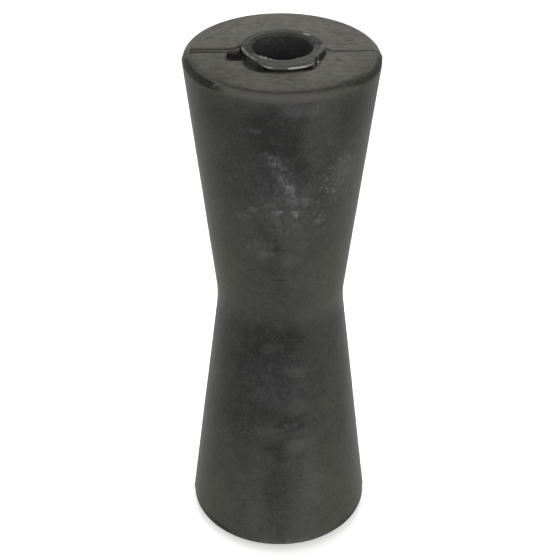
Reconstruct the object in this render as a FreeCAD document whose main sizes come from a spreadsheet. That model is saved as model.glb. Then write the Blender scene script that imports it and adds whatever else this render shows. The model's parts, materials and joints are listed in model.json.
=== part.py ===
import FreeCAD, Part

import math
import os

import Sketcher

# Keel roller: one moulding of black rubber, drawn standing on its end, millimetres, +Z along its axle.
# The body's own plane z = 0 is the waist; its Placement lifts it until the lower collar stands at z = 0.

SIZES = (
    ("face_gap", 250.0, "between the two flat end faces"),
    ("end_diameter", 88.0, "where a flank would meet an end face in a sharp corner"),
    ("waist_diameter", 59.6, "smallest girth, halfway along"),
    ("waist_blend_radius", 53.0, "long-section arc that joins the two flanks"),
    ("rim_radius", 3.5, "rounding between a flank and an end face"),
    ("bore_diameter", 27.0, "through bore for the axle"),
    ("collar_diameter", 37.0, "raised ring round each bore mouth"),
    ("collar_rise", 2.6, "ring above its end face"),
    ("collar_bevel", 0.8, "outer top edge of the ring"),
    ("mouth_bevel", 1.2, "from the top of the ring into the bore"),
    ("lip_diameter", 41.0, "flared lip on the front half of the upper ring"),
    ("lip_rise", 2.9, "lip above the end face at the bore"),
    ("lip_edge_rise", 2.1, "lip above the end face at its outer edge"),
    ("lip_thickness", 0.9, "lip at its outer edge"),
    ("moat_width", 3.2, "shallow recess round the foot of the ring, front half"),
    ("moat_depth", 0.7, "that recess below the end face"),
    ("fin_width", 0.7, "trimmed ridge left where the mould halves met"),
    ("fin_height", 0.35, "that ridge above the skin"),
    ("flash_length", 6.0, "thicker flash beside the upper ring"),
    ("flash_width", 1.6, "that flash, forwards from the back of the ridge"),
    ("flash_height", 1.0, "that flash above the end face"),
    ("gouge_diameter", 5.6, "torn hollow in front of the flash"),
    ("gouge_depth", 0.9, "that hollow below the end face"),
    ("gouge_slope", 35.0, "degrees that its wall leans in towards its floor"),
    ("gouge_shift", 4.6, "its middle in front of the parting plane"),
)

ORIGIN = (-1, 1)
START, END, CENTRE = 1, 2, 3
OUTWARD = FreeCAD.Vector(0, 0, 1)
FULL_TURN, HALF_TURN = 360.0, 180.0

doc = FreeCAD.newDocument("keel_roller")
sheet = doc.addObject("Spreadsheet::Sheet", "sizes")
size = {}
for row, (alias, value, note) in enumerate(SIZES, start=1):
    sheet.set(f"A{row}", alias)
    sheet.set(f"B{row}", str(value))
    sheet.set(f"C{row}", note)
    sheet.setAlias(f"B{row}", alias)
    size[alias] = value
doc.recompute()

roller = doc.addObject("PartDesign::Body", "roller")
roller.Label = "roller"
roller.setExpression(".Placement.Base.z", "sizes.face_gap / 2 + sizes.collar_rise")


def plane(role):
    """The body's own origin plane of that role."""
    return next(item for item in roller.Origin.OriginFeatures if item.Role == role)


def new_sketch(name, role, height=None):
    """A sketch on an origin plane, moved along the plane's normal by an expression if one is given."""
    sketch = roller.newObject("Sketcher::SketchObject", name)
    sketch.AttachmentSupport = [(plane(role), "")]
    sketch.MapMode = "FlatFace"
    if height:
        sketch.setExpression(".AttachmentOffset.Base.z", height)
    return sketch


def measure(sketch, name, kind, references, value, expression):
    """A named dimension with its starting value, bound to the sheet."""
    index = sketch.addConstraint(Sketcher.Constraint(kind, *references, value))
    sketch.renameConstraint(index, name)
    sketch.setExpression(f"Constraints.{name}", expression)


def relate(sketch, kind, *references):
    """A relation between shapes of the sketch, with no size of its own."""
    sketch.addConstraint(Sketcher.Constraint(kind, *references))


def point(x, y):
    """A point of a sketch."""
    return FreeCAD.Vector(x, y, 0)


def across_waist(spot):
    """The same point on the other side of the waist plane."""
    return point(spot.x, -spot.y)


def line(sketch, start, end):
    """A straight line of the sketch, as its index."""
    return sketch.addGeometry(Part.LineSegment(start, end), False)


def arc(sketch, centre, radius, first, last):
    """An arc that runs anticlockwise between two angles in radians, as its index."""
    circle = Part.Circle(centre, OUTWARD, radius)
    return sketch.addGeometry(Part.ArcOfCircle(circle, first, last), False)


def polygon(sketch, corners):
    """A closed outline whose corners are each placed from the origin.

    A corner is its name, its two starting coordinates and the two expressions that drive them.
    """
    count = len(corners)
    spots = [point(x, y) for _, x, y, _, _ in corners]
    for index in range(count):
        line(sketch, spots[index], spots[(index + 1) % count])
    for index in range(count):
        relate(sketch, "Coincident", index, END, (index + 1) % count, START)
    for index, (name, x, y, across, up) in enumerate(corners):
        measure(sketch, f"{name}_across", "DistanceX", (*ORIGIN, index, START), x, across)
        measure(sketch, f"{name}_up", "DistanceY", (*ORIGIN, index, START), y, up)


def hourglass(sketch, inner, inner_text, grow, grow_text):
    """The right half of the long section, from an inner upright out to the flank.

    grow moves the end faces, rims and flank outwards together, for the parting ridge.
    """
    half = size["end_diameter"] / 2 + grow
    top = size["face_gap"] / 2 + grow
    waist = size["waist_diameter"] / 2 + grow
    blend = size["waist_blend_radius"] - grow
    rim = size["rim_radius"] + grow
    # The flank is the tangent from the sharp corner to the waist arc.
    across = waist + blend - half
    reach = math.hypot(across, top)
    lean = math.atan2(top, across) + math.asin(blend / reach)
    along = point(math.cos(lean), math.sin(lean))
    normal = lean - math.pi / 2
    cut = rim / math.tan((math.pi - lean) / 2)
    corner = point(half, -top)
    waist_start = corner + along * math.sqrt(reach**2 - blend**2)
    rim_end = corner + along * cut
    face_end = point(half - cut, -top)

    lower_face = line(sketch, point(inner, -top), face_end)
    lower_rim = arc(sketch, point(half - cut, rim - top), rim, -math.pi / 2, normal)
    lower_flank = line(sketch, rim_end, waist_start)
    neck = arc(sketch, point(waist + blend, 0), blend, math.pi - normal, math.pi + normal)
    upper_flank = line(sketch, across_waist(waist_start), across_waist(rim_end))
    upper_rim = arc(sketch, point(half - cut, top - rim), rim, -normal, math.pi / 2)
    upper_face = line(sketch, across_waist(face_end), point(inner, top))
    upright = line(sketch, point(inner, top), point(inner, -top))
    low_corner = sketch.addGeometry(Part.Point(corner), True)
    high_corner = sketch.addGeometry(Part.Point(point(half, top)), True)

    relate(sketch, "Coincident", upright, END, lower_face, START)
    relate(sketch, "Coincident", upper_face, END, upright, START)
    relate(sketch, "Tangent", lower_face, END, lower_rim, START)
    relate(sketch, "Tangent", lower_rim, END, lower_flank, START)
    relate(sketch, "Tangent", lower_flank, END, neck, END)
    relate(sketch, "Tangent", neck, START, upper_flank, START)
    relate(sketch, "Tangent", upper_flank, END, upper_rim, START)
    relate(sketch, "Tangent", upper_rim, END, upper_face, START)
    relate(sketch, "Horizontal", lower_face)
    relate(sketch, "Horizontal", upper_face)
    relate(sketch, "Vertical", upright)
    relate(sketch, "Equal", lower_rim, upper_rim)
    for spot, face, flank in (
        (low_corner, lower_face, lower_flank),
        (high_corner, upper_face, upper_flank),
    ):
        relate(sketch, "PointOnObject", spot, START, face)
        relate(sketch, "PointOnObject", spot, START, flank)

    less = grow_text.replace("+", "-")
    face_text = f"sizes.face_gap / 2{grow_text}"
    half_text = f"sizes.end_diameter / 2{grow_text}"
    measure(sketch, "inner", "DistanceX", (*ORIGIN, upright, START), inner, inner_text)
    measure(sketch, "lower_face", "DistanceY", (lower_face, START, *ORIGIN), top, face_text)
    measure(sketch, "upper_face", "DistanceY", (*ORIGIN, upright, START), top, face_text)
    measure(sketch, "lower_end", "DistanceX", (*ORIGIN, low_corner, START), half, half_text)
    measure(sketch, "upper_end", "DistanceX", (*ORIGIN, high_corner, START), half, half_text)
    measure(sketch, "rim", "Radius", (lower_rim,), rim, f"sizes.rim_radius{grow_text}")
    measure(sketch, "blend", "Radius", (neck,), blend, f"sizes.waist_blend_radius{less}")
    measure(
        sketch, "neck_centre", "DistanceX", (*ORIGIN, neck, CENTRE), waist + blend,
        "sizes.waist_diameter / 2 + sizes.waist_blend_radius",
    )
    relate(sketch, "PointOnObject", neck, CENTRE, ORIGIN[0])


def turned(name, sketch, kind="PartDesign::Revolution", front_half=False):
    """The sketch turned about the roller's axis: all the way round, or through the front half, y below 0."""
    feature = roller.newObject(kind, name)
    feature.Profile = sketch
    feature.ReferenceAxis = (sketch, ["V_Axis"])
    feature.Angle = HALF_TURN if front_half else FULL_TURN
    feature.Reversed = front_half
    return feature


def mirrored(name, original, role):
    """The same feature on the other side of an origin plane."""
    feature = roller.newObject("PartDesign::Mirrored", name)
    feature.Originals = [original]
    feature.MirrorPlane = (plane(role), [""])
    roller.Tip = feature
    return feature


def barrel():
    """The concave body, already hollow for the axle."""
    sketch = new_sketch("barrel_section", "XZ_Plane")
    hourglass(sketch, size["bore_diameter"] / 2, "sizes.bore_diameter / 2", 0.0, "")
    return turned("barrel", sketch)


def parting_fin():
    """The trimmed ridge along both flanks and across both end faces, ending under the rings."""
    sketch = new_sketch("fin_outline", "XZ_Plane")
    inner = (size["bore_diameter"] + size["collar_diameter"]) / 4
    inner_text = "(sizes.bore_diameter + sizes.collar_diameter) / 4"
    hourglass(sketch, inner, inner_text, size["fin_height"], " + sizes.fin_height")
    fin = roller.newObject("PartDesign::Pad", "parting_fin")
    fin.Profile = sketch
    fin.Midplane = True
    fin.setExpression("Length", "sizes.fin_width")
    return mirrored("parting_fin_pair", fin, "YZ_Plane")


def collars():
    """A low ring round each bore mouth, bevelled outside and into the bore."""
    sketch = new_sketch("collar_section", "XZ_Plane")
    bore = size["bore_diameter"] / 2
    outer = size["collar_diameter"] / 2
    face = size["face_gap"] / 2
    crest = face + size["collar_rise"]
    mouth = size["mouth_bevel"]
    edge = size["collar_bevel"]
    bore_text = "sizes.bore_diameter / 2"
    outer_text = "sizes.collar_diameter / 2"
    face_text = "sizes.face_gap / 2"
    crest_text = f"{face_text} + sizes.collar_rise"
    polygon(sketch, (
        ("inner_foot", bore, face, bore_text, face_text),
        ("outer_foot", outer, face, outer_text, face_text),
        ("wall_top", outer, crest - edge, outer_text, f"{crest_text} - sizes.collar_bevel"),
        ("outer_crest", outer - edge, crest, f"{outer_text} - sizes.collar_bevel", crest_text),
        ("inner_crest", bore + mouth, crest, f"{bore_text} + sizes.mouth_bevel", crest_text),
        ("throat", bore, crest - mouth, bore_text, f"{crest_text} - sizes.mouth_bevel"),
    ))
    ring = turned("collar", sketch)
    return mirrored("collar_pair", ring, "XY_Plane")


def lip():
    """The front half of the upper ring, squeezed outwards into a thin lip that hangs over the ring's foot."""
    sketch = new_sketch("lip_section", "XZ_Plane")
    face = size["face_gap"] / 2
    bore = size["bore_diameter"] / 2
    outer = size["lip_diameter"] / 2
    edge = face + size["lip_edge_rise"]
    under = edge - size["lip_thickness"]
    bore_text = "sizes.bore_diameter / 2"
    outer_text = "sizes.lip_diameter / 2"
    edge_text = "sizes.face_gap / 2 + sizes.lip_edge_rise"
    under_text = f"{edge_text} - sizes.lip_thickness"
    crest_text = "sizes.face_gap / 2 + sizes.lip_rise"
    polygon(sketch, (
        ("root", bore, under, bore_text, under_text),
        ("tip", outer, under, outer_text, under_text),
        ("brim", outer, edge, outer_text, edge_text),
        ("crest", bore, face + size["lip_rise"], bore_text, crest_text),
    ))
    return turned("lip", sketch, front_half=True)


def moat():
    """The shallow recess in the end face round the foot of the ring, on the front half."""
    sketch = new_sketch("moat_section", "XZ_Plane")
    face = size["face_gap"] / 2
    ring = size["collar_diameter"] / 2
    outer = ring + size["moat_width"]
    depth = size["moat_depth"]
    lift = size["fin_height"]
    ring_text = "sizes.collar_diameter / 2"
    outer_text = f"{ring_text} + sizes.moat_width"
    floor_text = "sizes.face_gap / 2 - sizes.moat_depth"
    open_text = "sizes.face_gap / 2 + sizes.fin_height"
    shore = outer - depth
    shore_text = f"{outer_text} - sizes.moat_depth"
    polygon(sketch, (
        ("foot", ring, face - depth, ring_text, floor_text),
        ("shore", shore, face - depth, shore_text, floor_text),
        ("bank", outer, face, outer_text, "sizes.face_gap / 2"),
        ("above", outer, face + lift, outer_text, open_text),
        ("rise", ring, face + lift, ring_text, open_text),
    ))
    return turned("moat", sketch, "PartDesign::Groove", front_half=True)


def flash():
    """The thicker flash that the trimming left beside the upper ring."""
    sketch = new_sketch("flash_outline", "XY_Plane", "sizes.face_gap / 2")
    ring = size["collar_diameter"] / 2
    near = (size["bore_diameter"] + size["collar_diameter"]) / 4
    far = ring + size["flash_length"]
    back = size["fin_width"] / 2
    front = size["flash_width"] - back
    near_text = "-(sizes.bore_diameter + sizes.collar_diameter) / 4"
    far_text = "-sizes.collar_diameter / 2 - sizes.flash_length"
    back_text = "sizes.fin_width / 2"
    front_text = "sizes.fin_width / 2 - sizes.flash_width"
    polygon(sketch, (
        ("near_front", -near, -front, near_text, front_text),
        ("near_back", -near, back, near_text, back_text),
        ("far_back", -far, back, far_text, back_text),
        ("far_front", -far, -front, far_text, front_text),
    ))
    pad = roller.newObject("PartDesign::Pad", "flash")
    pad.Profile = sketch
    pad.setExpression("Length", "sizes.flash_height")
    return pad


def gouge():
    """The torn hollow in the end face in front of that flash."""
    sketch = new_sketch("gouge_outline", "XY_Plane", "sizes.face_gap / 2")
    radius = size["gouge_diameter"] / 2
    centre = point(-size["collar_diameter"] / 2 - radius, -size["gouge_shift"])
    mouth = sketch.addGeometry(Part.Circle(centre, OUTWARD, radius), False)
    out_text = "(sizes.collar_diameter + sizes.gouge_diameter) / 2"
    measure(sketch, "out", "DistanceX", (mouth, CENTRE, *ORIGIN), -centre.x, out_text)
    measure(sketch, "front", "DistanceY", (mouth, CENTRE, *ORIGIN), -centre.y, "sizes.gouge_shift")
    measure(sketch, "mouth", "Radius", (mouth,), radius, "sizes.gouge_diameter / 2")
    pocket = roller.newObject("PartDesign::Pocket", "gouge")
    pocket.Profile = sketch
    pocket.setExpression("Length", "sizes.gouge_depth")
    pocket.setExpression("TaperAngle", "-sizes.gouge_slope")
    return pocket


STEPS = (
    (barrel, 1),
    (parting_fin, 1),
    (collars, 1),
    (lip, 1),
    (moat, -1),
    (flash, 1),
    (gouge, -1),
)

volume = 0.0
for step, sign in STEPS:
    step()
    doc.recompute()
    gained = roller.Shape.Volume - volume
    print(f"{step.__name__}: {gained:+.1f} cubic mm")
    if gained * sign <= 0:
        raise RuntimeError(f"{step.__name__} did not change the solid the way it should")
    volume = roller.Shape.Volume

for item in doc.Objects:
    faults = [state for state in item.State if state in ("Invalid", "Error")]
    if faults:
        raise RuntimeError(f"{item.Name} is {faults}")
if roller.Shape.isNull() or not roller.Shape.isValid():
    raise RuntimeError("the roller is not a valid solid")

os.makedirs("parts", exist_ok=True)
roller.Shape.exportStep(os.path.join("parts", f"{roller.Label}.step"))
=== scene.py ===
import json
import math
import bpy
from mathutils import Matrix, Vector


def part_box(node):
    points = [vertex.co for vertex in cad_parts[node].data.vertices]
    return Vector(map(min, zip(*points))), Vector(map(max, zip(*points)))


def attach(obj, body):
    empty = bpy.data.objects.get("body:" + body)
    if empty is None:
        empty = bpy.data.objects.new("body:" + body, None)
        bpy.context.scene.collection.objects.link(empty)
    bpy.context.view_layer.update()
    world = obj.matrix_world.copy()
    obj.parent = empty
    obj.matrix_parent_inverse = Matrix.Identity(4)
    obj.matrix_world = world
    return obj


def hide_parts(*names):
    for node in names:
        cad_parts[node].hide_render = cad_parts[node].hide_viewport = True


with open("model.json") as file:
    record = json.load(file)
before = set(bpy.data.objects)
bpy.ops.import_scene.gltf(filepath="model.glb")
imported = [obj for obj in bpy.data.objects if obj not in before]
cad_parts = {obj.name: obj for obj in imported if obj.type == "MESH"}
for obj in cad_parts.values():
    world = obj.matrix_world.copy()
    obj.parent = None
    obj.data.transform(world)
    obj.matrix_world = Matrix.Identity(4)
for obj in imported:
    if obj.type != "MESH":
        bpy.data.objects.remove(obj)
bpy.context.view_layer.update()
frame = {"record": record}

from types import SimpleNamespace

import bmesh
import bpy
from mathutils import Matrix, Vector, noise

bl_info = {
    "name": "Keel Roller",
    "version": (1, 0, 0),
    "blender": (4, 5, 0),
    "location": "3D View > Sidebar > Keel Roller",
    "description": "A concave boat trailer roller, moulded in black rubber and weathered grey",
    "category": "Object",
}

MM = 0.001
LOW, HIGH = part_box("roller")
MOUNTS = {mount["name"]: mount for mount in frame["record"]["mounts"]}
BORE_RADIUS_MM = MOUNTS["axle_bore"]["dims"]["r_mm"]


# Colours and nodes


def srgb(code):
    """The linear colour of an sRGB hex value such as "62605A", with alpha 1."""
    channels = [int(code[start:start + 2], 16) / 255 for start in (0, 2, 4)]
    linear = [c / 12.92 if c <= 0.04045 else ((c + 0.055) / 1.055) ** 2.4 for c in channels]
    return (*linear, 1.0)


def add_node(tree, kind, settings=None, links=None):
    """Adds a node. Settings are attributes or input values. Links are inputs fed by a socket or a node."""
    node = tree.nodes.new(kind)
    for name, value in (settings or {}).items():
        if isinstance(name, str) and hasattr(node, name):
            setattr(node, name, value)
        else:
            node.inputs[name].default_value = value
    for name, source in (links or {}).items():
        socket = source if isinstance(source, bpy.types.NodeSocket) else source.outputs[0]
        tree.links.new(socket, node.inputs[name])
    return node


# Sizes, finish and studio that a user would change


class RollerSizes(bpy.types.PropertyGroup):
    """The moulding's sizes."""

    end_diameter: bpy.props.FloatProperty(
        name="End diameter",
        description="Where a flank would meet an end face in a sharp corner",
        default=88 * MM, unit="LENGTH",
    )
    waist_diameter: bpy.props.FloatProperty(
        name="Waist diameter",
        description="Smallest girth, halfway along",
        default=59.6 * MM, unit="LENGTH",
    )
    waist_blend: bpy.props.FloatProperty(
        name="Waist blend",
        description="Radius of the long-section arc that joins the two flanks",
        default=53 * MM, unit="LENGTH",
    )
    face_gap: bpy.props.FloatProperty(
        name="Face gap",
        description="Between the two flat end faces",
        default=250 * MM, unit="LENGTH",
    )
    rim_radius: bpy.props.FloatProperty(
        name="Rim radius",
        description="Rounding between a flank and an end face",
        default=3.5 * MM, unit="LENGTH",
    )
    ring_diameter: bpy.props.FloatProperty(
        name="Ring diameter",
        description="Raised ring round each mouth of the bore",
        default=37 * MM, unit="LENGTH",
    )
    ring_rise: bpy.props.FloatProperty(
        name="Ring rise",
        description="Height of the ring above its end face",
        default=2.6 * MM, unit="LENGTH",
    )
    moat_depth: bpy.props.FloatProperty(
        name="Recess depth",
        description="Shallow recess round the foot of the upper ring, on its front half",
        default=1.3 * MM, unit="LENGTH",
    )
    seam_height: bpy.props.FloatProperty(
        name="Seam height",
        description="Trimmed ridge where the two halves of the mould met",
        default=0.3 * MM, unit="LENGTH",
    )


class RubberFinish(bpy.types.PropertyGroup):
    """The colours of the aged rubber."""

    rubber: bpy.props.FloatVectorProperty(
        name="Bare rubber",
        description="Carbon black compound where the skin is rubbed clean",
        subtype="COLOR", size=4, default=srgb("262627"), min=0, max=1,
    )
    grey_bloom: bpy.props.FloatVectorProperty(
        name="Grey bloom",
        description="Film that wax leaves on the skin",
        subtype="COLOR", size=4, default=srgb("515151"), min=0, max=1,
    )
    olive_bloom: bpy.props.FloatVectorProperty(
        name="Olive bloom",
        description="The same film, browned by weather",
        subtype="COLOR", size=4, default=srgb("52524A"), min=0, max=1,
    )
    dust: bpy.props.FloatVectorProperty(
        name="Dust",
        description="Warm dust lying on the end face",
        subtype="COLOR", size=4, default=srgb("5C5750"), min=0, max=1,
    )
    damp_dust: bpy.props.FloatVectorProperty(
        name="Damp dust",
        description="Greener dust in patches on the end face",
        subtype="COLOR", size=4, default=srgb("555750"), min=0, max=1,
    )
    stain: bpy.props.FloatVectorProperty(
        name="Stain",
        description="Smooth pale film where drops dried",
        subtype="COLOR", size=4, default=srgb("6C6D63"), min=0, max=1,
    )
    speck: bpy.props.FloatVectorProperty(
        name="Specks",
        description="Dried splashes",
        subtype="COLOR", size=4, default=srgb("7E7F76"), min=0, max=1,
    )
    # pale scuffs, and also painted highlights along the lip's sides and painted glints on the torn lumps
    chalk: bpy.props.FloatVectorProperty(
        name="Chalk",
        description="Pale scuffs",
        subtype="COLOR", size=4, default=srgb("B0B1B3"), min=0, max=1,
    )
    # painted highlights: this colour lights the lip's lower edge, its burrs, a spot on the ring and torn
    # bits, besides the pale specks of a scuff
    rub: bpy.props.FloatVectorProperty(
        name="Rubbed edge",
        description="Edges that are rubbed bright",
        subtype="COLOR", size=4, default=srgb("B8B7AE"), min=0, max=1,
    )
    # dirt and painted shade: this colour also darkens the recess, the lip's wall under its brim, the ring's
    # foot, gaps and the line along the rim
    grime: bpy.props.FloatVectorProperty(
        name="Grime",
        description="Black dirt in gaps, grooves and torn places",
        subtype="COLOR", size=4, default=srgb("0D0D0C"), min=0, max=1,
    )


class StudioSetup(bpy.types.PropertyGroup):
    """Camera and lamps."""

    camera_back: bpy.props.FloatProperty(
        name="Camera distance",
        description="From the roller's axis, along the floor",
        default=615.85 * MM, unit="LENGTH",
    )
    camera_azimuth: bpy.props.FloatProperty(
        name="Camera azimuth",
        description="How far round to the left of the front it stands",
        default=math.radians(2.1), unit="ROTATION",
    )
    camera_height: bpy.props.FloatProperty(
        name="Camera height",
        description="Above the floor",
        default=541.95 * MM, unit="LENGTH",
    )
    camera_pitch: bpy.props.FloatProperty(
        name="Camera pitch",
        description="How far the camera looks down",
        default=math.radians(33.535), unit="ROTATION",
    )
    camera_yaw: bpy.props.FloatProperty(
        name="Camera yaw",
        description="How far it turns to the right of the axis",
        default=math.radians(-0.019), unit="ROTATION",
    )
    camera_roll: bpy.props.FloatProperty(
        name="Camera roll",
        description="How far it leans to the right",
        default=math.radians(0.457), unit="ROTATION",
    )
    lens: bpy.props.FloatProperty(
        name="Lens",
        description="Focal length in millimetres on a 36 mm sensor",
        default=99.83,
    )
    left_power: bpy.props.FloatProperty(
        name="Left lamp", description="Power of the lamp behind on the left", default=1.4, unit="POWER",
    )
    right_power: bpy.props.FloatProperty(
        name="Right lamp", description="Power of the lamp in front on the right", default=3.0, unit="POWER",
    )
    top_power: bpy.props.FloatProperty(
        name="Top lamp", description="Power of the lamp overhead", default=4.5, unit="POWER",
    )
    ambient: bpy.props.FloatProperty(
        name="Ambient", description="Strength of the room's light", default=0.8,
    )


def in_mm(group):
    """A group's lengths in millimetres."""
    return SimpleNamespace(**{key: getattr(group, key) / MM for key in group.__annotations__})


# Curves and falls


def smooth(value):
    """Rises softly from 0 to 1 as the value does."""
    value = min(max(value, 0.0), 1.0)
    return value * value * (3 - 2 * value)


def bump(distance, width):
    """A soft ridge, 1 at no distance."""
    return math.exp(-((distance / width) ** 2))


def along(table, place):
    """Reads a table of places and values, straight between its rows."""
    for (start, low), (end, high) in zip(table, table[1:]):
        if place <= end:
            return low + (high - low) * min(max((place - start) / (end - start), 0), 1)
    return table[-1][1]


def radius_of(place):
    """Distance from the roller's axis."""
    return math.hypot(place.x, place.y)


def turn_of(place):
    """Degrees round the axis: 0 at the left, 90 in front, 180 at the right, and -60 to 0 behind the left."""
    turn = (math.degrees(math.atan2(place.y, place.x)) + 180) % 360
    return turn if turn < 300 else turn - 360


def within(value, start, end, soft):
    """1 between start and end, falling to 0 over a soft margin that is centred on each."""
    return smooth((value - start) / soft + 0.5) * smooth((end - value) / soft + 0.5)


def distance_to(path, spot):
    """From a spot to the nearest point of a path of straight runs."""
    best = math.inf
    for start, end in zip(path, path[1:]):
        run = Vector(end) - Vector(start)
        share = min(max((spot - Vector(start)).dot(run) / run.length_squared, 0), 1)
        best = min(best, (spot - Vector(start) - run * share).length)
    return best


def straight(start, end, count):
    """Points from start towards end, without the end itself."""
    return [start.lerp(end, step / count) for step in range(count)]


def bow(centre, radius, first, last, count):
    """Points along an arc from one angle to another, in degrees, without the last one."""
    points = []
    for step in range(count):
        angle = math.radians(first + (last - first) * step / count)
        points.append(centre + radius * Vector((math.cos(angle), math.sin(angle))))
    return points


# The long section, in millimetres: x is the radius, y the height. Steps along the rim, the waist's arc and
# the last run to it. Points on a flank are FLANK_STEP apart, and closer where cuts cross it: the middle of
# each such band, its half height and its steps

RIM_STEPS, NECK_STEPS, LAST_STEPS = 12, 6, 9
FLANK_STEP = 2.3
FINE_BANDS = ((67.5, 1.5, 8), (28.2, 2.5, 12))

# The ring: steps along its wall, shoulder, crest and throat, and the radii of shoulder and throat. The lip's
# section has as many points

RING_STEPS = (4, 7, 11, 8)
RING_POINTS = sum(RING_STEPS)
RING_SHOULDER, RING_MOUTH = 1.1, 1.5

# How far from the ring the upper face has closer points, and its steps on each side of that. How deep the
# bore's mouths go, the steps there and between them, and the lower mouth's and face's own

FINE_FACE, FACE_STEPS = 6.5, 18
MOUTH_DEPTH, MOUTH_STEPS, BORE_STEPS = 30, 12, 8
LOWER_MOUTH_STEPS, LOWER_FACE_STEPS = 6, 8


def flank_lean(sizes):
    """Degrees that the flanks lean from the axis."""
    reach_out = sizes.waist_diameter / 2 + sizes.waist_blend - sizes.end_diameter / 2
    reach_up = sizes.face_gap / 2
    reach = math.hypot(reach_out, reach_up)
    line = math.atan2(reach_up, reach_out) + math.asin(sizes.waist_blend / reach)
    return math.degrees(line) - 90


def outer_half(sizes):
    """From the edge of the upper end face down the rim and flank to the waist, heights above the waist."""
    lean = flank_lean(sizes)
    half, top = sizes.end_diameter / 2, sizes.face_gap / 2
    cut = sizes.rim_radius / math.tan(math.radians((90 - lean) / 2))
    rim_centre = Vector((half - cut, top - sizes.rim_radius))
    neck_centre = Vector((sizes.waist_diameter / 2 + sizes.waist_blend, 0))
    points = bow(rim_centre, sizes.rim_radius, 90, -lean, RIM_STEPS)
    neck = bow(neck_centre, sizes.waist_blend, 180 - lean, 180, NECK_STEPS)
    start = bow(rim_centre, sizes.rim_radius, -lean, -lean, 1)[0]
    here = start
    for middle, spread, steps in FINE_BANDS:
        for height, count in ((middle + spread, None), (middle - spread, steps)):
            ahead = start.lerp(neck[0], (start.y - height) / (start.y - neck[0].y))
            points += straight(here, ahead, count or round((here - ahead).length / FLANK_STEP))
            here = ahead
    return points + straight(here, neck[0], LAST_STEPS) + neck


def ring_half(sizes):
    """From the foot of the raised ring over its crest and into the bore, heights above the end face."""
    ring, rise = sizes.ring_diameter / 2, sizes.ring_rise
    inner, mouth = ring - RING_SHOULDER, BORE_RADIUS_MM + RING_MOUTH
    wall_top = rise - RING_SHOULDER
    wall_steps, shoulder_steps, crest_steps, throat_steps = RING_STEPS
    wall = straight(Vector((ring, 0)), Vector((ring, wall_top)), wall_steps)
    shoulder = bow(Vector((inner, wall_top)), RING_SHOULDER, 0, 90, shoulder_steps)
    crest = straight(Vector((inner, rise)), Vector((mouth, rise)), crest_steps)
    throat = bow(Vector((mouth, rise - RING_MOUTH)), RING_MOUTH, 90, 180, throat_steps)
    return wall + shoulder + crest + throat


# The flared lip, by degrees round the ring: 0 at its left end, 90 in front, 180 at its right. Its top over
# the face, the furthest and highest that its crest is, and its height at the bore's mouth. How far its brim
# reaches and how high that is. Where the recess round it ends, how wide its bank is, its share of the full
# depth, and the painted shade in it. The radii of the fold along the lip's top and of a groove beside that.
# The burrs in the bore's mouth: turn, half width in degrees and reach

LIP_START, LIP_END, LIP_TOP = 0.0, 192.0, 2.88
CREST_REACH, CREST_TOP, MOUTH_TOP = 17.8, 2.72, 2.62
BRIM_REACH = (
    (-8, 17.9), (8, 17.8), (25, 17.3), (43, 17.6), (57, 19.2), (66, 20.2), (78, 20.6), (100, 20.4),
    (122, 20.5), (130, 20.5), (134, 19.3), (138, 17.7), (150, 17.5), (162, 17.9), (182, 19.0), (196, 18.8),
)
BRIM_HEIGHT = ((0, 2.5), (30, 2.5), (55, 2.3), (70, 1.9), (120, 1.8), (135, 2.1), (160, 2.5), (192, 2.5))
MOAT_REACH = (
    (0, 18.6), (20, 18.8), (26, 19.3), (33, 20.3), (40, 21.1), (48, 21.8), (58, 22.0), (70, 21.8),
    (87, 21.6), (104, 21.3), (118, 21.2), (128, 21.0), (138, 20.4), (146, 19.3), (154, 18.6), (184, 18.3),
)
MOAT_SLOPE = ((0, 1.8), (30, 2.0), (60, 3.0), (78, 5.0), (108, 5.0), (124, 3.0), (150, 1.6), (184, 1.6))
MOAT_DEPTH = (
    (0, 0.25), (12, 0.35), (30, 1), (60, 1), (80, 0.15), (110, 0.15), (126, 0.9), (150, 0.6), (184, 0.3),
)
MOAT_SHADE = ((0, 0.3), (25, 0.75), (55, 0.7), (75, 0.1), (112, 0.1), (130, 0.6), (150, 0.3), (184, 0.2))
FOLD_RADIUS, GROOVE_RADIUS = 16.4, 15.0
MOUTH_BURRS = ((47, 4, 0.7), (56, 2.5, 1.1), (66, 4, 0.5), (118, 8, 0.6))


def mouth_burr(turn):
    """How far a burr reaches into the mouth of the bore at a turn."""
    return sum(reach * bump(turn - middle, width) for middle, width, reach in MOUTH_BURRS)


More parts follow.
